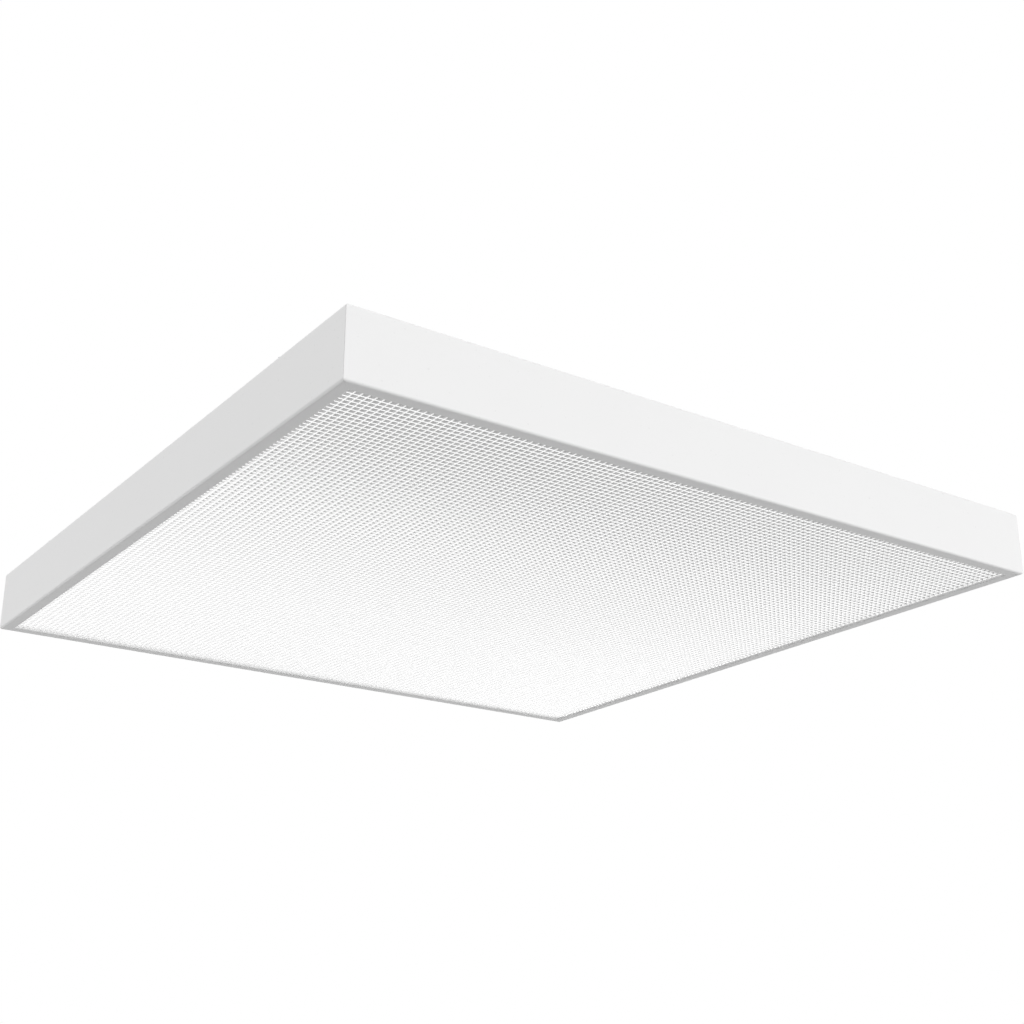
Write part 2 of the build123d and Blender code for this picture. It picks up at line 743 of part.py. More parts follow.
parts_z = driver_floor + driver_shelf + driver_board_thickness
with BuildPart() as driver_transformer:
    with BuildSketch(Plane.XY.offset(parts_z)):
        with Locations((driver_x + coil_spot, driver_y)):
            RectangleRounded(coil_length, coil_width, coil_corner)
    extrude(amount=coil_height)
keep(driver_transformer, "driver_transformer")

with BuildPart() as driver_capacitors:
    with BuildSketch(Plane.XY.offset(parts_z)):
        with Locations(*[(driver_x + spot, driver_y) for spot in can_spots]):
            Circle(can_radius)
    extrude(amount=can_height)
keep(driver_capacitors, "driver_capacitors")

with BuildPart() as driver_screws:
    add_screw(driver_ear_places, driver_floor, screw_radius, screw_head_radius, screw_head,
              2 * tray_sheet + driver_sheet)
keep(driver_screws, "driver_screws")

# ---- Terminal block: one bay, lever and contact bar for each pole ----
with BuildPart() as terminal_block:
    with BuildSketch(Plane.XY.offset(tray_top)):
        with Locations((block_x, access_y)):
            Rectangle(block_length, block_width)
    extrude(amount=block_height)
    fillet(edges().filter_by(Axis.Z), radius=block_corner)
    for row in pole_rows:
        # the bay is open towards -X and upwards, and round under the lever's hub
        with BuildSketch(Plane.XZ.offset(-row)):
            with Locations((pivot_x, pivot_z)):
                Circle(lever_hub + lever_clear)
                Rectangle(lever_hub + lever_clear, 2 * lever_hub, align=(Align.MIN, Align.MIN))
                Rectangle(lever_pivot + bay_over, 2 * lever_hub, align=(Align.MAX, Align.MIN))
        extrude(amount=bay_width / 2, both=True, mode=Mode.SUBTRACT)
        with BuildSketch(Plane.XZ.offset(-row)):
            with Locations((pivot_x, pivot_z)):
                Circle(lever_pin + lever_pin_clear)
        extrude(amount=bay_width / 2 + lever_pin_length + lever_pin_clear, both=True, mode=Mode.SUBTRACT)
        with BuildSketch(Plane.YZ.offset(block_face)):
            with Locations((row, tunnel_z)):
                Rectangle(tunnel_width, tunnel_height, align=(Align.CENTER, Align.MIN))
        extrude(amount=block_length, mode=Mode.SUBTRACT)
keep(terminal_block, "terminal_block")

for number, row in enumerate(pole_rows, start=1):
    with BuildPart() as terminal_lever:
        with BuildSketch(Plane.XZ.offset(-row)):
            with Locations((pivot_x, pivot_z)):
                Circle(lever_hub)
                with Locations((0, lever_side_clear)):
                    Rectangle(lever_reach, lever_hub - lever_side_clear, align=(Align.MAX, Align.MIN))
        extrude(amount=bay_width / 2 - lever_side_clear, both=True)
        with BuildSketch(Plane.XZ.offset(-row)):
            with Locations((pivot_x, pivot_z)):
                Circle(lever_pin)
        extrude(amount=bay_width / 2 + lever_pin_length, both=True)
    keep(terminal_lever, f"terminal_lever_{number}")

with BuildPart() as contact_bars:
    with BuildSketch(Plane.XY.offset(tunnel_z)):
        with Locations(*[(block_x, row) for row in pole_rows]):
            Rectangle(block_length - 2 * block_skin, tunnel_width - 2 * bar_side_clear)
    extrude(amount=bar_thickness)
keep(contact_bars, "contact_bars")

# ---- Earth stud with lug and nut ----
with BuildPart() as earth_stud:
    with BuildSketch(Plane.XY.offset(tray_top)):
        with Locations((stud_x, stud_y)):
            Circle(stud_base_radius)
    extrude(amount=stud_base)
    with BuildSketch(Plane.XY.offset(tray_top)):
        with Locations((stud_x, stud_y)):
            Circle(stud_radius)
    extrude(amount=stud_height)
keep(earth_stud, "earth_stud")

lug_z = tray_top + stud_base
with BuildPart() as earth_lug:
    with BuildSketch(Plane.XY.offset(lug_z)):
        with Locations((stud_x, stud_y)):
            Circle(lug_radius)
            Rectangle(lug_radius + lug_tail, lug_tail_width, align=(Align.MIN, Align.CENTER))
            Circle(stud_radius + lug_clear, mode=Mode.SUBTRACT)
    extrude(amount=lug_thickness)
keep(earth_lug, "earth_lug")

with BuildPart() as earth_nut:
    with BuildSketch(Plane.XY.offset(lug_z + lug_thickness)):
        with Locations((stud_x, stud_y)):
            RegularPolygon(nut_flats / 2, 6, major_radius=False)
            Circle(stud_radius + nut_clear, mode=Mode.SUBTRACT)
    extrude(amount=nut_height)
keep(earth_nut, "earth_nut")


# ---- Wires inside the housing, each whole from end to end ----
def add_wire(radius, points):
    """Round wire through the points, with each bend as wide as its two runs allow."""
    spots = [Vector(*point) for point in points]
    bends = []
    for before, at, after in zip(spots, spots[1:], spots[2:]):
        turn = (at - before).get_angle(after - at)
        run = min((at - before).length, (after - at).length)
        bends.append(bend_share * run / tan(radians(turn / 2)))
    with BuildLine() as route:
        FilletPolyline(*spots, radius=bends)
    path = route.wire()
    with BuildSketch(Plane(origin=path @ 0, z_dir=path % 0)) as section:
        Circle(radius)
    sweep(section.sketch, path=path)
    print("bend radii", [round(bend, 1) for bend in bends], "section times length",
          round(pi * radius**2 * path.length, 1))


port_in = driver_end_high - wire_tuck
entry_x = block_face + wire_tuck
entry_z = bar_top + mains_wire
lead = wire_lead * (entry_x - port_in)
for name, port_row, pole_row in (("wire_line", driver_y + driver_port_spread, pole_rows[2]),
                                 ("wire_neutral", driver_y - driver_port_spread, pole_rows[1])):
    with BuildPart() as mains:
        add_wire(mains_wire, [(port_in, port_row, driver_port_z),
                              (port_in + lead, port_row, driver_port_z),
                              (entry_x - lead, pole_row, entry_z),
                              (entry_x, pole_row, entry_z)])
    print(name, "volume", round(mains.part.volume, 1))
    keep(mains, name)

lug_end = stud_x + lug_radius + lug_tail
lug_wire_z = lug_z + lug_thickness + mains_wire
with BuildPart() as wire_earth:
    add_wire(mains_wire, [(entry_x, pole_rows[0], entry_z),
                          (entry_x - earth_lead, pole_rows[0], entry_z),
                          (lug_end, stud_y, lug_wire_z),
                          (lug_end - earth_lead, stud_y, lug_wire_z)])
print("wire_earth volume", round(wire_earth.part.volume, 1))
keep(wire_earth, "wire_earth")

plug_mid_z = board_z - plug_height / 2
fed_row = board_rows[board_count // 2 - 1]
plug_face = fed_row + plug_width / 2
for name, sign in (("wire_led_plus", 1), ("wire_led_minus", -1)):
    port_row = driver_y + sign * driver_port_spread
    drop_x = bush_x - sign * led_wire_spread
    with BuildPart() as lamp_wire:
        add_wire(led_wire, [(driver_end_low + wire_tuck, port_row, driver_port_z),
                            (driver_end_low - driver_ear, port_row, driver_port_z),
                            (drop_x, bush_y, tray_top + lamp_wire_rise),
                            (drop_x, bush_y, plug_mid_z),
                            (drop_x, plug_face, plug_mid_z)])
    print(name, "volume", round(lamp_wire.part.volume, 1))
    keep(lamp_wire, name)

# flat twin wires link each board to the next at the +X end
with BuildPart() as board_links:
    for row, next_row in zip(board_rows, board_rows[1:]):
        start = row + plug_width / 2
        end = next_row - plug_width / 2
        with BuildLine() as link_route:
            FilletPolyline((plug_x, start, plug_mid_z), (plug_x, start + link_lead, plug_mid_z),
                           (plug_x - link_slack, start + 2 * link_lead, plug_mid_z),
                           (plug_x - link_slack, end - 2 * link_lead, plug_mid_z),
                           (plug_x, end - link_lead, plug_mid_z), (plug_x, end, plug_mid_z), radius=link_bend)
        link_end = Plane(origin=(plug_x, start, plug_mid_z), x_dir=(1, 0, 0), z_dir=(0, 1, 0))
        with BuildSketch(link_end) as flat_pair:
            Rectangle(4 * led_wire, 2 * led_wire)
        sweep(flat_pair.sketch, path=link_route.wire())
keep(board_links, "board_links")
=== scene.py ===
# %% [markdown]
# # A recessed ceiling light, seen from below
# The light is a shallow white steel box with a prismatic lens in its open side. Its sheet-metal
# pieces, wiring and hinges come in as a fixed model with real sizes. This lesson dresses that
# model: a camera at the photograph's place, soft studio light, a lens made of thousands of small
# pyramids, screws with a cross recess, and one procedural finish for each kind of surface.
# Everything is in metres, and +Z points up into the ceiling.

# %% Load the frame
import math

import bmesh
import bpy
from mathutils import Matrix, Vector


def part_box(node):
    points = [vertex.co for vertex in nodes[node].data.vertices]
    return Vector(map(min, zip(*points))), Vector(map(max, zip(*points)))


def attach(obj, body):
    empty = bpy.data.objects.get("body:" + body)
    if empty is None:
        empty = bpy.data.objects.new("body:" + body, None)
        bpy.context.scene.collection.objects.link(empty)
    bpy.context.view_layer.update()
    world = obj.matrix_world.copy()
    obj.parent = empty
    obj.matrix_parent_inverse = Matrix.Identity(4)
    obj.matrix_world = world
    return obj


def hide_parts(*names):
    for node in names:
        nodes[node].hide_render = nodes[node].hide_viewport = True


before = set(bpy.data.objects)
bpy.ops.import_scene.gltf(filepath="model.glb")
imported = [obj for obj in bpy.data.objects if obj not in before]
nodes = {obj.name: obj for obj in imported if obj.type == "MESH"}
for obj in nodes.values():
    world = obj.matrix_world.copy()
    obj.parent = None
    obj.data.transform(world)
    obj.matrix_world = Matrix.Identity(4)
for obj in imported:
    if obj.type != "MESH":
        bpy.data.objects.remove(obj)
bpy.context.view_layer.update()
scene = bpy.context.scene
MM = 0.001

# %% [markdown]
# ## The camera comes first
# The photograph looks up at one corner of the box. The seven corners that it shows fix where the
# camera stood, which way it looked and how long its lens was. A camera that looks along a vector
# is turned with `to_track_quat`, which keeps its own up direction as near to the world's as it
# can.

# %% Camera
EYE = Vector((-0.67842, -1.00600, -0.38595))
SIGHT = Vector((0.53626, 0.76439, 0.35797))
SENSOR_WIDTH = 36.0  # millimetres
FOCAL_LENGTH = 55.21  # millimetres

camera_data = bpy.data.cameras.new("camera")
camera_data.sensor_fit = "HORIZONTAL"
camera_data.sensor_width = SENSOR_WIDTH
camera_data.lens = FOCAL_LENGTH
camera = bpy.data.objects.new("camera", camera_data)
looking = SIGHT.to_track_quat("-Z", "Y").to_matrix().to_4x4()
camera.matrix_world = Matrix.Translation(EYE) @ looking
scene.collection.objects.link(camera)
scene.camera = camera
scene.view_settings.view_transform = "Standard"
print("camera tilts up by", round(math.degrees(math.asin(SIGHT.z)), 1), "degrees")

# %% [markdown]
# ## Shader maths written as Python
# A shader tree is a graph, and a long formula in it is hard to read as nodes. A small class can
# wrap a socket and answer to `+`, `-`, `*` and `/` by adding Math nodes, so that a mask reads
# like the formula it is. Numbers and colours that never meet a socket stay plain Python. Colours
# don't pass through Math nodes, because those turn a colour grey: they are blended by a Mix node.

# %% Sockets that take part in sums
class Signal:
    """A value that changes over a surface: one output socket of a shader tree."""

    def __init__(self, recipe, socket):
        self.recipe = recipe
        self.socket = socket

    def math(self, operation, *others):
        values = {place: other for place, other in enumerate((self, *others))}
        return self.recipe.add("Math", {"operation": operation}, values)

    def __add__(self, other):
        return self.math("ADD", other)

    def __sub__(self, other):
        return self.math("SUBTRACT", other)

    def __rsub__(self, other):
        return self.recipe.add("Math", {"operation": "SUBTRACT"}, {0: other, 1: self})

    def __mul__(self, other):
        return self.math("MULTIPLY", other)

    def __truediv__(self, other):
        return self.math("DIVIDE", other)

    __radd__ = __add__

    def above(self, level, blur):
        """Rises from 0 to 1 as this value passes the level, over the width of the blur."""
        low, high = level - blur / 2, level + blur / 2
        return self.recipe.add("MapRange", {"interpolation_type": "SMOOTHSTEP"},
                               {0: self, 1: low, 2: high, 3: 0.0, 4: 1.0})


# %% Colours are plain triples
def grey(level):
    """A colour without a hue."""
    return (level, level, level)


def shade(colour, factor):
    """A colour made lighter or darker by plain arithmetic."""
    return tuple(min(1.0, part * factor) for part in colour)


print("half of a grey:", shade(grey(0.8), 0.5))

# %% [markdown]
# ## One method adds any node
# The second class holds a tree. Its `add` takes a node's type, then its settings, then the values
# or links of its sockets, in that order, because some settings change which sockets a node shows.

# %% A recipe is a node tree that is being written
MIRROR_ROUGHNESS = 0.2


class Recipe:
    """Adds nodes to the shader tree of a material or of the world."""

    def __init__(self, tree):
        self.tree = tree
        self.tree.nodes.clear()

    def add(self, kind, settings=None, values=None, output=0):
        """Adds a node and returns one of its outputs."""
        node = self.tree.nodes.new("ShaderNode" + kind)
        for name, setting in (settings or {}).items():
            setattr(node, name, setting)
        for name, value in (values or {}).items():
            socket = node.inputs[name]
            if isinstance(value, Signal):
                self.tree.links.new(value.socket, socket)
            elif hasattr(socket.default_value, "__len__") and len(socket.default_value) == 4:
                socket.default_value = (*value[:3], 1.0)
            else:
                socket.default_value = value
        return Signal(self, node.outputs[output]) if node.outputs else None

    def outputs(self, signal, names):
        """More outputs of the node that a signal comes from."""
        sockets = signal.socket.node.outputs
        return [Signal(self, sockets[name]) for name in names]

    def blend(self, amount, first, second):
        """Colour that goes from the first to the second as the amount goes from 0 to 1."""
        return self.add("Mix", {"data_type": "RGBA"}, {0: amount, 6: first, 7: second}, output=2)

    def place(self):
        """Where a point lies on the object, in metres."""
        return self.add("TexCoord", output="Object")

    def axes(self, vector):
        """The three parts of a vector, each as a value."""
        return self.outputs(self.add("SeparateXYZ", values={0: vector}), range(3))

    def noise(self, size, detail=3.0, stretch=(1.0, 1.0, 1.0)):
        """Soft noise from 0 to 1, with lumps of about that size in metres."""
        mapped = self.add("Mapping", values={"Vector": self.place(), "Scale": stretch})
        lumps = {"Vector": mapped, "Scale": 1.0 / size, "Detail": detail}
        return self.add("TexNoise", values=lumps)

    def bump(self, height, strength, depth):
        """A surface normal tilted by the slope of a height. From 0 to 1 it rises by the depth."""
        return self.add("Bump", values={"Height": height, "Strength": strength, "Distance": depth})

    def surface(self, mirror=None, **sockets):
        """The finished surface. Names of sockets are written with _ for a space. Where mirror
        rises from 0 to 1, the surface turns into a white gloss that shows the room."""
        values = {name.replace("_", " "): value for name, value in sockets.items()}
        shader = self.add("BsdfPrincipled", values=values)
        if mirror is not None:
            gloss = self.add("BsdfGlossy",
                             values={"Color": grey(1.0), "Roughness": MIRROR_ROUGHNESS})
            shader = self.add("MixShader", values={0: mirror, 1: shader, 2: gloss})
        self.add("OutputMaterial", values={0: shader})


# %% A material and its recipe
def material(name):
    """A new material and the recipe that fills it."""
    made = bpy.data.materials.new(name)
    made.use_nodes = True
    return made, Recipe(made.node_tree)


finishes = {}

# %% [markdown]
# ## White paint on folded steel
# Powder coat is not a flat white. Under a low light it has the faint dimples of orange peel,
# about a millimetre apart, its gloss drifts from place to place, and a few specks of dust are
# baked in. The dimples could be modelled, but they are far too shallow: a bump of a few
# hundredths of a millimetre is enough.

# %% Paint
PEEL_SIZE, PEEL_DEPTH = 1.1 * MM, 0.02 * MM
DRIFT_SIZE = 60 * MM
SPECK_SIZE = 2.4 * MM
SPECK_LEVEL = 0.80  # only the highest lumps of the noise are specks
SPECK_SHARE = 0.25  # how much of its own shade a speck shows


def painted_steel(name, colour, gloss):
    made, recipe = material(name)
    peel = recipe.noise(PEEL_SIZE, detail=2.0)
    drift = recipe.noise(DRIFT_SIZE)
    specks = recipe.noise(SPECK_SIZE, detail=0.0).above(SPECK_LEVEL, blur=0.03)
    base = recipe.blend(drift, shade(colour, 0.985), shade(colour, 1.01))
    recipe.surface(Base_Color=recipe.blend(specks * SPECK_SHARE, base, shade(colour, 0.8)),
                   Roughness=gloss + drift * 0.08, IOR=1.5,
                   Normal=recipe.bump(peel, strength=0.35, depth=PEEL_DEPTH))
    return made


finishes["white_paint"] = painted_steel("white_paint", grey(0.86), gloss=0.42)
finishes["reflector_white"] = painted_steel("reflector_white", grey(0.93), gloss=0.62)
print("painted finishes:", sorted(finishes))

# %% [markdown]
# ## Zinc, aluminium and copper
# Zinc plate crystallises in flat grains of a few millimetres that catch the light differently. A
# texture of cells gives them: one random value per cell. Rolled sheet and drawn bar have fine
# scratches in one direction instead, so their noise is stretched along it.

# %% Metals
GRAIN_SHARE = 0.6  # of the mottling; scratches make up the rest
SCRATCH_SHARE = 0.4
SCRATCHES_PER_GRAIN = 6
SCRATCH_DEPTH = 0.02 * MM


def grained_metal(name, colour, grain, rough, stretch):
    made, recipe = material(name)
    cell = recipe.add("TexVoronoi", values={"Vector": recipe.place(), "Scale": 1.0 / grain},
                      output="Color")
    grains = recipe.axes(cell)[0]
    scratches = recipe.noise(grain / SCRATCHES_PER_GRAIN, detail=4.0, stretch=stretch)
    mottling = grains * GRAIN_SHARE + scratches * SCRATCH_SHARE
    recipe.surface(Base_Color=recipe.blend(mottling, shade(colour, 0.86), shade(colour, 1.08)),
                   Metallic=1.0, Roughness=rough + scratches * 0.16,
                   Normal=recipe.bump(scratches, strength=0.15, depth=SCRATCH_DEPTH))
    return made


# name, colour, size of a grain in millimetres, roughness, stretch of the noise
metals = (
    ("zinc_steel", (0.66, 0.67, 0.68), 2.5, 0.26, (1.0, 1.0, 1.0)),
    ("driver_case", (0.78, 0.79, 0.80), 1.2, 0.34, (0.05, 1.0, 1.0)),
    ("copper", (0.72, 0.45, 0.25), 1.5, 0.22, (0.1, 1.0, 1.0)),
)
for name, colour, grain, rough, stretch in metals:
    finishes[name] = grained_metal(name, colour, grain * MM, rough, stretch)
print("metals:", len(metals))

# %% [markdown]
# ## Moulded plastic, rubber, foam and insulation
# Small mouldings differ in colour and gloss, and share a fine spark-eroded texture and slight
# flow marks. One function makes them all, and each finish names its own grain, gloss and depth.

# %% Mouldings
FLOW_SIZE = 18 * MM
FLOW_RANGE = 0.04  # how much lighter and darker the flow marks are


def moulded(name, colour, rough, grain, depth):
    made, recipe = material(name)
    skin = recipe.noise(grain, detail=2.0)
    flow = recipe.noise(FLOW_SIZE)
    marks = recipe.blend(flow, shade(colour, 1.0 - FLOW_RANGE), shade(colour, 1.0 + FLOW_RANGE))
    recipe.surface(Base_Color=marks, Roughness=rough + skin * 0.12,
                   Normal=recipe.bump(skin, strength=0.4, depth=depth))
    return made


# name, colour, roughness, then size and depth of the texture in millimetres
mouldings = (
    ("diffuser", grey(0.93), 0.55, 0.5, 0.010),
    ("foam", grey(0.82), 0.85, 0.6, 0.120),
    ("board_white", (0.90, 0.90, 0.88), 0.30, 0.8, 0.010),
    ("plug_white", (0.86, 0.86, 0.84), 0.45, 0.4, 0.020),
    ("lever_orange", (0.85, 0.36, 0.08), 0.34, 0.4, 0.015),
    ("component_dark", (0.08, 0.08, 0.09), 0.48, 0.4, 0.030),
    ("rubber_black", grey(0.06), 0.66, 0.5, 0.030),
    ("wire_brown", (0.28, 0.14, 0.07), 0.42, 0.7, 0.010),
    ("wire_blue", (0.08, 0.25, 0.60), 0.42, 0.7, 0.010),
    ("wire_red", (0.65, 0.06, 0.05), 0.42, 0.7, 0.010),
    ("wire_black", grey(0.04), 0.42, 0.7, 0.010),
    ("wire_white", (0.85, 0.85, 0.84), 0.42, 0.7, 0.010),
)
for name, colour, rough, grain, depth in mouldings:
    finishes[name] = moulded(name, colour, rough, grain * MM, depth * MM)
print("mouldings:", len(mouldings))

# %% [markdown]
# ## Surfaces with a pattern of their own
# The earth wire is green with yellow stripes: a sine wave runs through the object, and its crests
# are yellow.

# %% Striped wire
STRIPE_PITCH = 9 * MM
STRIPE_LEVEL = 0.35  # of the wave, from -1 to 1: where green turns yellow
WIRE_GRAIN = 0.7 * MM


def striped_wire(name, ground, stripe):
    made, recipe = material(name)
    across, along, up = recipe.axes(recipe.place())
    wave = ((across + along + up) * (2 * math.pi / STRIPE_PITCH)).math("SINE")
    skin = recipe.noise(WIRE_GRAIN)
    recipe.surface(Base_Color=recipe.blend(wave.above(STRIPE_LEVEL, blur=0.1), ground, stripe),
                   Roughness=0.38 + skin * 0.1,
                   Normal=recipe.bump(skin, strength=0.3, depth=0.01 * MM))
    return made


finishes["wire_earth_green"] = striped_wire("wire_earth_green", (0.12, 0.45, 0.10),
                                            (0.85, 0.72, 0.05))
print("a stripe every", round(STRIPE_PITCH / MM), "mm along an axis")

# %% [markdown]
# An LED chip is a small white frame round a yellow window of phosphor. The chips lie on a regular
# grid, so the place of a point within its grid cell says whether it is frame or window.

# %% LED chips
CHIP_PITCH = 20.0 * MM
ROW_PITCH = 75.0 * MM
WINDOW_X, WINDOW_Y = 1.35 * MM, 1.0 * MM  # half sizes of the window
WINDOW_BLUR = 0.1 * MM


def chip_faces(name, phosphor, case):
    made, recipe = material(name)
    across, along, _ = recipe.axes(recipe.place())
    chip_x = (across / CHIP_PITCH).math("ROUND") * CHIP_PITCH
    chip_y = ((along / ROW_PITCH).math("FLOOR") + 0.5) * ROW_PITCH
    past_x = (across - chip_x).math("ABSOLUTE").above(WINDOW_X, WINDOW_BLUR)
    past_y = (along - chip_y).math("ABSOLUTE").above(WINDOW_Y, WINDOW_BLUR)
    frame_mask = past_x.math("MAXIMUM", past_y)
    grit = recipe.noise(0.3 * MM)
    yellow = recipe.blend(grit, shade(phosphor, 0.92), shade(phosphor, 1.06))
    recipe.surface(Base_Color=recipe.blend(frame_mask, yellow, case), Roughness=0.25 + grit * 0.15,
                   Normal=recipe.bump(grit, strength=0.2, depth=0.02 * MM))
    return made


finishes["chip_yellow"] = chip_faces("chip_yellow", (0.92, 0.78, 0.28), (0.90, 0.90, 0.88))
print("chips", round(CHIP_PITCH / MM), "mm apart, rows", round(ROW_PITCH / MM), "mm")

# %% [markdown]
# The driver's board has copper tracks under its green lacquer. The edges between the cells of the
# same texture draw them, with the cells almost on a square grid.

# %% Printed circuit
TRACK_CELL = 4.5 * MM
TRACK_HALF = 0.10  # half a track's width, in cells
CELL_DISORDER = 0.35


def circuit(name, lacquer, track):
    made, recipe = material(name)
    tracks = recipe.add("TexVoronoi", {"feature": "DISTANCE_TO_EDGE"}, {
        "Vector": recipe.place(), "Scale": 1.0 / TRACK_CELL, "Randomness": CELL_DISORDER})
    copper_mask = 1 - tracks.above(TRACK_HALF, blur=0.04)
    weave = recipe.noise(0.6 * MM)
    recipe.surface(Base_Color=recipe.blend(copper_mask, shade(lacquer, 0.9), track),
                   Roughness=0.28 + weave * 0.12,
                   Normal=recipe.bump(copper_mask, strength=0.5, depth=0.04 * MM))
    return made


finishes["circuit_green"] = circuit("circuit_green", (0.06, 0.24, 0.11), (0.16, 0.40, 0.20))
print("finishes so far:", len(finishes))

# %% [markdown]
# ## The lens finish
# The lens is clear acrylic with a white film close behind it, so it reads as white with a hard
# clear skin that mirrors the room at a low angle. Its light and shade are painted: each face
# carries a value from 0 to 1, `clear`, that the pyramid pattern stores on its faces, and that is
# a painted light map. The grooves get the most painted light, the facets that face -Y and +X a
# little, and the others none, as if the light fell from that side. The base colour runs from a
# painted shade to a painted light with it, and a faint painted glow, brightest in the grooves,
# stands for the light that the film lets through. Seen along the sheet, the facets turn edge-on
# and mirror the white room, so the panel brightens with distance. Layer Weight measures that
# angle against the normal of the sheet, leaned a little to one side because the panel of the
# photograph brightens towards one corner first. Faces with painted light turn into a mirror a
# little earlier than the others.

# %% Lens
FACET_NORMAL = Vector((-0.10, 0.20, -0.97)).normalized()
LIT = (0.015, 0.02)  # level and blur of `clear`, above which a face has painted light
GROOVE_LIT = (0.4, 0.1)  # the same for the grooves
LIT_TURN = (0.745, 0.08)  # level and blur of the angle at which a face with painted light turns into a mirror
DIM_TURN = (0.80, 0.12)  # the same for the other faces
GROOVE_LOSS = 0.6  # the share of the mirror that a groove lacks
DIM_SHARE = 0.75  # the share of it that a face without painted light gets


def prism_acrylic(name, painted_shade, painted_light, painted_glow):
    made, recipe = material(name)
    # `clear` is the painted light map: painted light and shade stored on each face
    clear = recipe.add("Attribute", {"attribute_name": "clear"}, output="Fac")
    ripple = recipe.noise(40 * MM)
    lean = recipe.add("CombineXYZ", values={axis: FACET_NORMAL[axis] for axis in range(3)})
    edge_on = recipe.add("LayerWeight", values={"Blend": 0.5, "Normal": lean}, output="Facing")
    lit = clear.above(*LIT)
    lit_mirror = edge_on.above(*LIT_TURN) * (lit - clear.above(*GROOVE_LIT) * GROOVE_LOSS)
    dim_mirror = edge_on.above(*DIM_TURN) * (1 - lit) * DIM_SHARE
    # The base colour runs from painted shade to painted light along `clear`, and the emission is a
    # painted glow
    recipe.surface(mirror=lit_mirror + dim_mirror, Base_Color=recipe.blend(clear, painted_shade, painted_light),
                   Roughness=0.10 + ripple * 0.08, IOR=1.49,
                   Emission_Color=recipe.blend(clear, shade(painted_glow, 0.10), painted_glow),
                   Emission_Strength=1.0,
                   Normal=recipe.bump(recipe.noise(1.5 * MM), strength=0.10, depth=0.01 * MM))
    return made


finishes["prism_lens"] = prism_acrylic("prism_lens", painted_shade=grey(0.65), painted_light=grey(0.97),
                                       painted_glow=grey(0.72))
print("all finishes:", len(finishes))

# %% [markdown]
# ## The CAD pieces take their finishes
# Each piece already names the slot that its finish goes into, so one loop dresses them all.

# %% Dress the CAD pieces
for name, piece in nodes.items():
    for worn in piece.material_slots:
        slot_name = worn.material.name.split(".")[0] if worn.material else "white_paint"
        if slot_name not in finishes:
            print("no finish for", name, slot_name)
        worn.material = finishes.get(slot_name, finishes["white_paint"])
print("dressed", len(nodes), "pieces with", len(finishes), "finishes")

# %% [markdown]
# ## Geometry Nodes from a script
# What repeats is made by a small node group: it sets a copy of one piece on every point, joins
# the copies and gives them a material. Four short helpers open a group from a list of inputs, add
# a node, add a Math node and close the group.

# %% Helpers for node groups
def new_group(name, inputs):
    """A geometry group with named inputs: (name, kind, value)."""
    group = bpy.data.node_groups.new(name, "GeometryNodeTree")
    group.interface.new_socket("Geometry", in_out="INPUT", socket_type="NodeSocketGeometry")
    group.interface.new_socket("Geometry", in_out="OUTPUT", socket_type="NodeSocketGeometry")
    for label, kind, value in inputs:
        socket = group.interface.new_socket(label, in_out="INPUT", socket_type="NodeSocket" + kind)
        if value is not None:
            socket.default_value = value
    return group, group.nodes.new("NodeGroupInput").outputs


def joint(group, kind, links, settings=None):
    """Adds a node, links or sets its inputs by name or number, and returns its outputs."""
    node = group.nodes.new(kind)
    for name, setting in (settings or {}).items():
        setattr(node, name, setting)
    for name, value in links.items():
        if isinstance(value, bpy.types.NodeSocket):
            group.links.new(value, node.inputs[name])
        else:
            node.inputs[name].default_value = value
    return node.outputs


def maths(group, operation, first, second=0.0):
    """One Math node between sockets or numbers."""
    return joint(group, "ShaderNodeMath", {0: first, 1: second}, {"operation": operation})[0]


def close_group(group, geometry, finish):
    """Gives the geometry its material and leads it out of the group."""
    worn = joint(group, "GeometryNodeSetMaterial", {"Geometry": geometry, "Material": finish})[0]
    group.links.new(worn, group.nodes.new("NodeGroupOutput").inputs[0])


# %% [markdown]
# A group only shows its work through a modifier. Because only real faces are exported, the piece
# then takes over what the modifier made, and the modifier goes. Its inputs are set by the
# identifiers of their sockets, which stay the same when a label changes.

# %% From a group to a plain mesh
def new_piece(name, vertices, faces):
    """An object at the origin from points and faces."""
    mesh = bpy.data.meshes.new(name)
    mesh.from_pydata(vertices, [], faces)
    mesh.update()
    piece = bpy.data.objects.new(name, mesh)
    scene.collection.objects.link(piece)
    return piece


def make_real(piece, group, sizes, body, replaced):
    """Runs the group on a piece, keeps the result as plain faces, and puts it on a body."""
    modifier = piece.modifiers.new("pattern", "NODES")
    modifier.node_group = group
    keys = {item.name: item.identifier for item in group.interface.items_tree
            if item.in_out == "INPUT"}
    for label, value in sizes.items():
        modifier[keys[label]] = value
    bpy.context.view_layer.update()
    finished = piece.evaluated_get(bpy.context.evaluated_depsgraph_get())
    mesh = bpy.data.meshes.new_from_object(finished)
    piece.modifiers.remove(modifier)
    piece.data = mesh
    mesh.name = piece.name
    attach(piece, body)
    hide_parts(*replaced)
    print(piece.name, "has", sum(len(face.vertices) - 2 for face in mesh.polygons), "triangles")


# %% [markdown]
# ## The prismatic lens
# The real sheet is cut from a stock panel pressed with square pyramids, 4.8 mm apart, with a flat
# groove between them. It isn't cut to the pattern, so the cells along its edges are cut at random
# places. The plain sheet comes first: its top, its edges, the border that lies on the lip, and
# the step down to the field of prisms. Its faces carry a painted light value `clear` of their
# own, between those painted on the grooves and on the facets.

# %% Lens sheet without its prisms
LENS_HALF = 295.0 * MM
FIELD_HALF = 287.0 * MM
LENS_TOP = 4.2 * MM
LENS_SEAT = 2.2 * MM
GROOVE_Z = 1.72 * MM
TIP_Z = 1.3 * MM
BORDER_PAINTED_LIGHT = 0.6


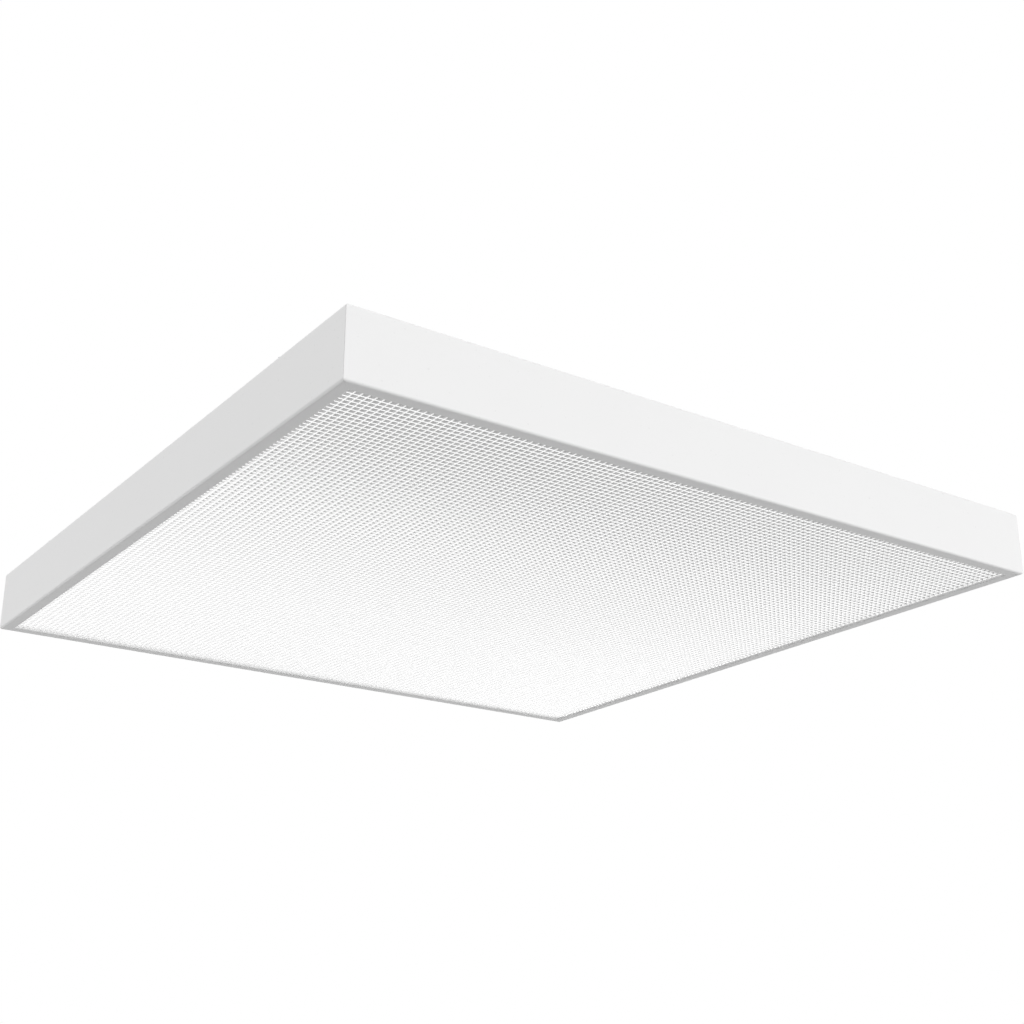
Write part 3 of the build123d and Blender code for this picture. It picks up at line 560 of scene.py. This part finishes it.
def square(half, height):
    """Four corners, starting at -X and -Y."""
    corners = ((-half, -half), (half, -half), (half, half), (-half, half))
    return [(x, y, height) for x, y in corners]


def ring(first, second):
    """Faces between two squares of four points each, given by their first numbers."""
    sides = [(at, (at + 1) % 4) for at in range(4)]
    return [(first + at, first + after, second + after, second + at) for at, after in sides]


lens_points = square(LENS_HALF, LENS_TOP) + square(LENS_HALF, LENS_SEAT)
lens_points += square(FIELD_HALF, LENS_SEAT) + square(FIELD_HALF, GROOVE_Z)
lens_faces = [(0, 1, 2, 3)] + ring(4, 0) + ring(8, 4) + ring(12, 8)
lens_sheet = new_piece("lens_sheet", lens_points, lens_faces)
# the border's painted light
for face in lens_sheet.data.attributes.new("clear", "FLOAT", "FACE").data:
    face.value = BORDER_PAINTED_LIGHT
print("lens sheet:", 2 * LENS_HALF, "m square")

# %% [markdown]
# One cell of the pattern is nine points: the outer square of the groove, the inner square at the
# foot of the pyramid, and the tip. The painted light map `clear` sits on its faces.

# %% One cell of the pattern
PITCH = 4.825 * MM
GROOVE = 0.9 * MM
# painted light and shade, both in the order of the sides -Y, +X, +Y and -X: the grooves on the
# -Y and +Y sides and the facets facing -Y and +X are painted lighter, as if the light fell from
# there
GROOVE_PAINTED_LIGHT = (1.0, 0.7, 1.0, 0.7)
FACET_PAINTED_LIGHT = (0.03, 0.03, 0.0, 0.0)


def pattern_cell():
    foot = (PITCH - GROOVE) / 2
    points = square(PITCH / 2, GROOVE_Z) + square(foot, GROOVE_Z) + [(0, 0, TIP_Z)]
    facets = [(4 + (at + 1) % 4, 4 + at, 8) for at in range(4)]
    cell = new_piece("pattern_cell", points, ring(4, 0) + facets)
    # painted light and shade on each face of the cell
    faces = cell.data.attributes.new("clear", "FLOAT", "FACE").data
    for face, value in zip(faces, GROOVE_PAINTED_LIGHT + FACET_PAINTED_LIGHT):
        face.value = value
    return cell


prism_cell = pattern_cell()
print("cell of", len(prism_cell.data.polygons), "faces")

# %% [markdown]
# The group lays a grid of points, sets a cell on each, and makes the cells real. Then every point
# outside the field is pulled back to its edge, which cuts the outer cells as a saw does. That
# folds the cut-off faces up into slivers along the edge, so these take the border's painted
# light, its value of `clear`, and don't draw a dark line. Points that fall together are merged.

# %% Cut a pattern to a square field
WELD = 2e-6  # metres within which points count as one


def saw_cut(group, pattern, half):
    where = joint(group, "GeometryNodeInputPosition", {})[0]
    parts = joint(group, "ShaderNodeSeparateXYZ", {0: where})
    lowest = maths(group, "SUBTRACT", 0.0, half)
    held = [joint(group, "ShaderNodeClamp", {"Value": parts[axis], "Min": lowest, "Max": half})[0]
            for axis in (0, 1)]
    inside = joint(group, "ShaderNodeCombineXYZ", {0: held[0], 1: held[1], 2: parts[2]})[0]
    cut = joint(group, "GeometryNodeSetPosition", {"Geometry": pattern, "Position": inside})[0]
    reach = maths(group, "MAXIMUM", *(maths(group, "ABSOLUTE", part) for part in held))
    on_rim = maths(group, "GREATER_THAN", reach, maths(group, "SUBTRACT", half, WELD))
    # the slivers on the rim get the border's painted light
    marked = joint(group, "GeometryNodeStoreNamedAttribute", {
        "Geometry": cut, "Selection": on_rim, "Name": "clear", "Value": BORDER_PAINTED_LIGHT},
        {"data_type": "FLOAT", "domain": "FACE"})[0]
    return joint(group, "GeometryNodeMergeByDistance", {"Geometry": marked, "Distance": WELD})[0]


# %% Field of prisms
def prism_field():
    group, given = new_group("prism_field", (
        ("Cell", "Object", None), ("Pitch", "Float", 0.005), ("Count", "Int", 121),
        ("Field half", "Float", 0.287), ("Shift X", "Float", 0.0), ("Shift Y", "Float", 0.0),
        ("Material", "Material", None)))
    count = given["Count"]
    size = maths(group, "MULTIPLY", maths(group, "SUBTRACT", count, 1.0), given["Pitch"])
    grid = joint(group, "GeometryNodeMeshGrid", {
        "Size X": size, "Size Y": size, "Vertices X": count, "Vertices Y": count})[0]
    shift = joint(group, "ShaderNodeCombineXYZ", {0: given["Shift X"], 1: given["Shift Y"]})[0]
    moved = joint(group, "GeometryNodeTransform", {"Geometry": grid, "Translation": shift})[0]
    cell = joint(group, "GeometryNodeObjectInfo", {"Object": given["Cell"]})["Geometry"]
    copies = joint(group, "GeometryNodeInstanceOnPoints", {"Points": moved, "Instance": cell})[0]
    real = joint(group, "GeometryNodeRealizeInstances", {"Geometry": copies})[0]
    both = group.nodes.new("GeometryNodeJoinGeometry")
    group.links.new(saw_cut(group, real, given["Field half"]), both.inputs[0])
    group.links.new(given["Geometry"], both.inputs[0])
    close_group(group, both.outputs[0], given["Material"])
    return group


# %% [markdown]
# The grooves of the photographed panel pass 2.35 mm and 3.45 mm from the middle of the light, so
# the grid of cells is shifted by those distances less half a pitch.

# %% Press the prisms into the sheet
GROOVE_AT_X, GROOVE_AT_Y = 2.35 * MM, 3.45 * MM
CELLS = 121  # along each side, enough to pass the edges of the field

make_real(lens_sheet, prism_field(), {
    "Cell": prism_cell, "Pitch": PITCH, "Count": CELLS, "Field half": FIELD_HALF,
    "Shift X": GROOVE_AT_X - PITCH / 2, "Shift Y": GROOVE_AT_Y - PITCH / 2,
    "Material": finishes["prism_lens"]}, "housing", ["prismatic_lens"])
bpy.data.objects.remove(prism_cell)

# %% [markdown]
# ## Screws
# A pan-head screw has a low dome, a cross recess and a threaded shank. One screw is turned and
# cut in mesh code with a few hundred faces, and a node group sets it on every place. Heads on top
# of the back panel point up, and those inside the light chamber point down.

# %% Outline of a cross recess
SCREW_STEPS = 24
BLADE = 0.28  # half the width of the recess's arms, over half its length
TINY = 1e-6  # keeps a division off zero


def turns_of(steps):
    """Angles of evenly spaced points round a circle."""
    return [2 * math.pi * at / steps for at in range(steps)]


def cross_outline(bit):
    """Points round a cross recess. bit is half its length."""
    blade = bit * BLADE
    outline = []
    for turn in turns_of(SCREW_STEPS):
        side_x, side_y = abs(math.cos(turn)), abs(math.sin(turn))
        reach = min(bit, max(blade / max(side_x, TINY), blade / max(side_y, TINY)))
        outline.append((reach * math.cos(turn), reach * math.sin(turn)))
    return outline


print("recess of", len(cross_outline(MM)), "points")

# %% One pan-head screw
RECESS_FLOOR = (0.55, 0.25)  # its width over that of the rim, its level over the head's height
RECESS_RIM = 0.99  # its level over the head's height
DOME = ((0.62, 1.0), (0.88, 0.78), (1.0, 0.35), (1.0, 0.0))  # shares of radius and height
THREADS = 5
THREAD_START, THREAD_RUN, THREAD_FLANK = 0.12, 0.7, 0.05  # shares of the shank's length
THREAD_ROOT = 0.78  # share of the shank's radius
POINT_START, POINT_END = 0.85, 0.35  # where the point starts, and how thick it ends


def screw_rows(mesh, radius, height, shank, length, bit):
    """Rings of points from the recess's floor over the dome to the screw's point."""
    def loop(reach, level):
        return [mesh.verts.new((reach * math.cos(turn), reach * math.sin(turn), level))
                for turn in turns_of(SCREW_STEPS)]

    cross = cross_outline(bit)
    taper, floor_level = RECESS_FLOOR
    rows = [[mesh.verts.new((x * taper, y * taper, height * floor_level)) for x, y in cross],
            [mesh.verts.new((x, y, height * RECESS_RIM)) for x, y in cross]]
    rows += [loop(radius * wide, height * high) for wide, high in DOME]
    rows.append(loop(shank, 0.0))
    for turn in range(THREADS):
        top = -length * (THREAD_START + THREAD_RUN * turn / THREADS)
        rows += [loop(shank, top), loop(shank * THREAD_ROOT, top - length * THREAD_FLANK),
                 loop(shank, top - length * THREAD_FLANK * 2)]
    return rows + [loop(shank, -length * POINT_START), loop(shank * POINT_END, -length)]


def pan_head(name, radius, height, shank, length, bit):
    """A screw whose head sits on z = 0 and whose shank goes down. Sizes are in millimetres."""
    mesh = bmesh.new()
    rows = screw_rows(mesh, radius * MM, height * MM, shank * MM, length * MM, bit * MM)
    for upper, lower in zip(rows, rows[1:]):
        for at in range(SCREW_STEPS):
            after = (at + 1) % SCREW_STEPS
            mesh.faces.new((upper[at], lower[at], lower[after], upper[after]))
    mesh.faces.new(rows[0])
    mesh.faces.new(list(reversed(rows[-1])))
    bmesh.ops.recalc_face_normals(mesh, faces=mesh.faces)
    data = bpy.data.meshes.new(name)
    mesh.to_mesh(data)
    mesh.free()
    piece = bpy.data.objects.new(name, data)
    scene.collection.objects.link(piece)
    return piece


BOLT_HEAD = 2.4  # millimetres
sheet_screw = pan_head("sheet_screw", radius=2.9, height=2.0, shank=1.45, length=7.0, bit=1.7)
cover_bolt = pan_head("cover_bolt", radius=3.6, height=BOLT_HEAD, shank=1.9, length=8.0, bit=2.1)
print("a screw has", len(sheet_screw.data.polygons), "faces")

# %% [markdown]
# One group sets every kind of screw. It turns each copy by a random angle about its own axis, so
# that the recesses don't line up, and turns those in the light chamber over.

# %% A group that sets a fastener on every point
def fasteners():
    group, given = new_group("fasteners", (
        ("Fastener", "Object", None), ("Turn over", "Bool", False), ("Spread", "Float", 6.28),
        ("Seed", "Int", 3), ("Material", "Material", None)))
    shape = joint(group, "GeometryNodeObjectInfo", {"Object": given["Fastener"]})["Geometry"]
    spin = joint(group, "FunctionNodeRandomValue", {"Max": given["Spread"], "Seed": given["Seed"]},
                 {"data_type": "FLOAT"})
    angle = next(out for out in spin if out.enabled)
    flip = maths(group, "MULTIPLY", given["Turn over"], math.pi)
    turned = joint(group, "ShaderNodeCombineXYZ", {0: flip, 2: angle})[0]
    copies = joint(group, "GeometryNodeInstanceOnPoints",
                   {"Points": given["Geometry"], "Instance": shape, "Rotation": turned})[0]
    real = joint(group, "GeometryNodeRealizeInstances", {"Geometry": copies})[0]
    close_group(group, real, given["Material"])
    return group


# %% [markdown]
# The screws of the panel stand at even distances. Where a screw has to meet another piece, its
# place is read from the box of that piece.

# %% Places of the screws
EDGE_IN = (297.5 - 8.5) * MM  # half the housing, less the screws' distance from its side
ALONG = (-180 * MM, 0.0, 180 * MM)
PANEL_TOP = 50.0 * MM
panel_places = [(sign * EDGE_IN, along, PANEL_TOP) for sign in (-1, 1) for along in ALONG]
panel_places += [(along, sign * EDGE_IN, PANEL_TOP) for sign in (-1, 1) for along in ALONG]

TRAY_SHEET = 0.6 * MM
tray_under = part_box("tray_posts")[0].z - TRAY_SHEET
posts = [(x, y) for x in (-200 * MM, 0.0, 200 * MM) for y in (-150 * MM, 150 * MM)]

cover_low, cover_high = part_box("cover_screw")
bolt_place = ((cover_low.x + cover_high.x) / 2, 0.0, cover_high.z - BOLT_HEAD * MM)
print("panel screws:", len(panel_places), "posts:", len(posts))

# %% Set the screws
fastener_group = fasteners()


def set_screws(name, fastener, places, over, body, replaced, seed):
    make_real(new_piece(name, places, []), fastener_group, {
        "Fastener": fastener, "Turn over": over, "Seed": seed,
        "Material": finishes["zinc_steel"]}, body, replaced)


set_screws("pan_screws", sheet_screw, panel_places, False, "housing", ["panel_screws"], 3)
set_screws("post_screws_top", sheet_screw, [(x, y, PANEL_TOP) for x, y in posts], False,
           "housing", ["post_screws"], 5)
set_screws("post_screws_below", sheet_screw, [(x, y, tray_under) for x, y in posts], True,
           "housing", ["post_screws"], 7)
set_screws("cover_bolt_set", cover_bolt, [bolt_place], False, "cover", ["cover_screw"], 11)
for spare in (sheet_screw, cover_bolt):
    bpy.data.objects.remove(spare)

# %% [markdown]
# ## Background and floor
# The photograph's background is plain white. The world is white only where the camera, a
# mirror-like reflection or a clear piece sees it. For soft light it has three levels: brightest
# above the horizon, less bright overhead, so that the beads and edges of the back show, and dim
# below the horizon.

# %% World
SKY_LEVEL = 0.94
BELOW_LEVEL = 0.15
OVERHEAD_DROP = 0.32
HORIZON = (0.0, 0.3)  # level and blur of the height at which the sky begins
OVERHEAD = (0.75, 0.5)  # the same for the part overhead

world = bpy.data.worlds.new("studio")
scene.world = world
world.use_nodes = True
sky = Recipe(world.node_tree)
height = sky.axes(sky.add("TexCoord", output="Generated"))[2]
level = BELOW_LEVEL + height.above(*HORIZON) * (SKY_LEVEL - BELOW_LEVEL)
level = level - height.above(*OVERHEAD) * OVERHEAD_DROP
by_camera, by_gloss, by_clear = sky.outputs(
    sky.add("LightPath"), ("Is Camera Ray", "Is Glossy Ray", "Is Transmission Ray"))
shows = by_camera.math("MAXIMUM", by_gloss).math("MAXIMUM", by_clear)
strength = shows + (1 - shows) * level
sky.add("OutputWorld", values={0: sky.add("Background", values={0: grey(1.0), 1: strength})})
print("world levels:", SKY_LEVEL, BELOW_LEVEL)

# %% [markdown]
# A pale floor lies well below the light. To soft light it is darker than it looks, so that it
# doesn't light the lip from below. It casts no shadow, because two of the lamps shine up through
# it.

# %% Floor
FLOOR_Z = -3.0
FLOOR_RADIUS = 4.8
FLOOR_STEPS = 64
FLOOR_SOFT = grey(0.19)  # what soft light meets
FLOOR_DARK, FLOOR_LIGHT = grey(0.84), grey(0.86)  # what the camera and reflections see

floor_rim = [(FLOOR_RADIUS * math.cos(turn), FLOOR_RADIUS * math.sin(turn), FLOOR_Z)
             for turn in turns_of(FLOOR_STEPS)]
studio_floor = new_piece("studio_floor", floor_rim, [tuple(range(FLOOR_STEPS))])
floor_paint, paint = material("studio_floor")
visible = paint.blend(paint.noise(30 * MM), FLOOR_DARK, FLOOR_LIGHT)
by_camera, by_gloss = paint.outputs(paint.add("LightPath"), ("Is Camera Ray", "Is Glossy Ray"))
paint.surface(Base_Color=paint.blend(by_camera.math("MAXIMUM", by_gloss), FLOOR_SOFT, visible),
              Roughness=0.9)
studio_floor.data.materials.append(floor_paint)
studio_floor.visible_shadow = False
print("floor lies", -FLOOR_Z, "m below the lip")

# %% [markdown]
# ## Lamps
# The wall on the right of the photograph is almost white, the wall on the left is a step darker,
# and the lip under them is darker still. A wide sun from the left lifts the left wall a little. A
# second one, low on the right and below the light, gives the right wall its brightness and rakes
# over the prisms from one side, so that their facets differ; the lens finish adds more of that
# difference as painted light and shade. A third comes from behind and below, and its
# reflection keeps the rounded foot of the left wall from turning dark.

# %% Lamps
def sun(name, source, strength, spread):
    """A sun that shines from the direction of its source and seems that many degrees wide."""
    data = bpy.data.lights.new(name, "SUN")
    data.energy = strength
    data.angle = math.radians(spread)
    lamp = bpy.data.objects.new(name, data)
    lamp.matrix_world = Vector(source).to_track_quat("Z", "Y").to_matrix().to_4x4()
    scene.collection.objects.link(lamp)


sun("left_fill", source=(-0.80, -0.25, 0.35), strength=0.62, spread=40)
sun("low_key", source=(0.66, -0.68, -0.32), strength=1.96, spread=70)
sun("foot_glint", source=(-0.36, 0.76, -0.54), strength=0.75, spread=20)
